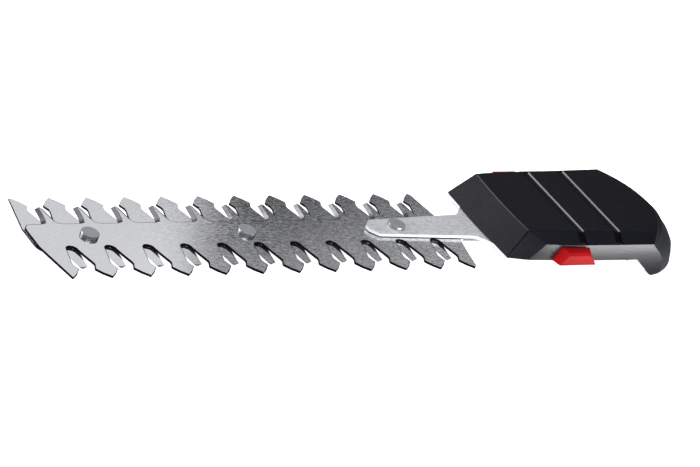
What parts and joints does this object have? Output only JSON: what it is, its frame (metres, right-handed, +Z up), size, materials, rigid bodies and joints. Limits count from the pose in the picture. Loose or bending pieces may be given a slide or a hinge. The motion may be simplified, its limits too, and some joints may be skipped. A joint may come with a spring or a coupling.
{
  "type": "hedge trimmer blade attachment",
  "caption": "Double-sided shear head: two toothed steel blades on a tongue plate, low faceted housing with cross grooves, side release buttons and a rear hook.",
  "frame": {"origin": "middle of the bounding box in plan, at the foot of the rear hook", "axes": "+X from the nose of the blades to the housing, +Y across the blades, +Z up from the blades to the cover"},
  "size_m": [0.2958, 0.0584, 0.0186],
  "materials": {
    "cover_plastic": "fine textured black plastic",
    "frame_plastic": "fine textured dark grey plastic",
    "button_plastic": "satin red plastic",
    "blade_steel": "fine ground steel",
    "plate_steel": "brushed sheet steel",
    "rivet_steel": "turned steel",
    "spring_steel": "drawn wire",
    "bronze": "sintered bronze",
    "felt": "greased felt"
  },
  "bodies": {
    "housing": {"cover_shell": "cover_plastic", "lower_housing": "frame_plastic", "base_plate": "plate_steel", "upper_blade": "blade_steel", "blade_rivet_front": "rivet_steel", "blade_rivet_middle": "rivet_steel", "blade_rivet_rear": "rivet_steel", "guide_bush_front": "bronze", "guide_bush_middle": "bronze", "guide_bush_rear": "bronze", "rivet_washer_front": "rivet_steel", "rivet_washer_middle": "rivet_steel", "rivet_washer_rear": "rivet_steel", "crank_bearing": "bronze", "thrust_washer": "rivet_steel", "grease_felt": "felt", "shank_rivet_left": "rivet_steel", "shank_rivet_right": "rivet_steel", "button_spring_left": "spring_steel", "button_spring_right": "spring_steel", "cover_screw_1": "rivet_steel", "cover_screw_2": "rivet_steel", "cover_screw_3": "rivet_steel", "cover_screw_4": "rivet_steel"},
    "moving_blade": {"lower_blade": "blade_steel"},
    "crank": {"drive_crank": "rivet_steel", "crank_circlip": "spring_steel"},
    "button_left": {"release_button_left": "button_plastic", "latch_plate_left": "plate_steel"},
    "button_right": {"release_button_right": "button_plastic", "latch_plate_right": "plate_steel"}
  },
  "joints": [
    {"name": "blade_stroke", "type": "slide", "parent": "housing", "child": "moving_blade", "axis": [1, 0, 0], "range_m": [-0.004, 0.004]},
    {"name": "crank_turn", "type": "hinge", "parent": "housing", "child": "crank", "pos_m": [0.1059, 0, 0.0063], "axis": [0, 0, 1], "continuous": true},
    {"name": "button_left_press", "type": "slide", "parent": "housing", "child": "button_left", "axis": [0, -1, 0], "range_m": [0, 0.003], "stiffness_N_per_m": 600, "springref_m": -0.001, "deforming": ["button_spring_left"]},
    {"name": "button_right_press", "type": "slide", "parent": "housing", "child": "button_right", "axis": [0, 1, 0], "range_m": [0, 0.003], "stiffness_N_per_m": 600, "springref_m": -0.001, "deforming": ["button_spring_right"]}
  ]
}
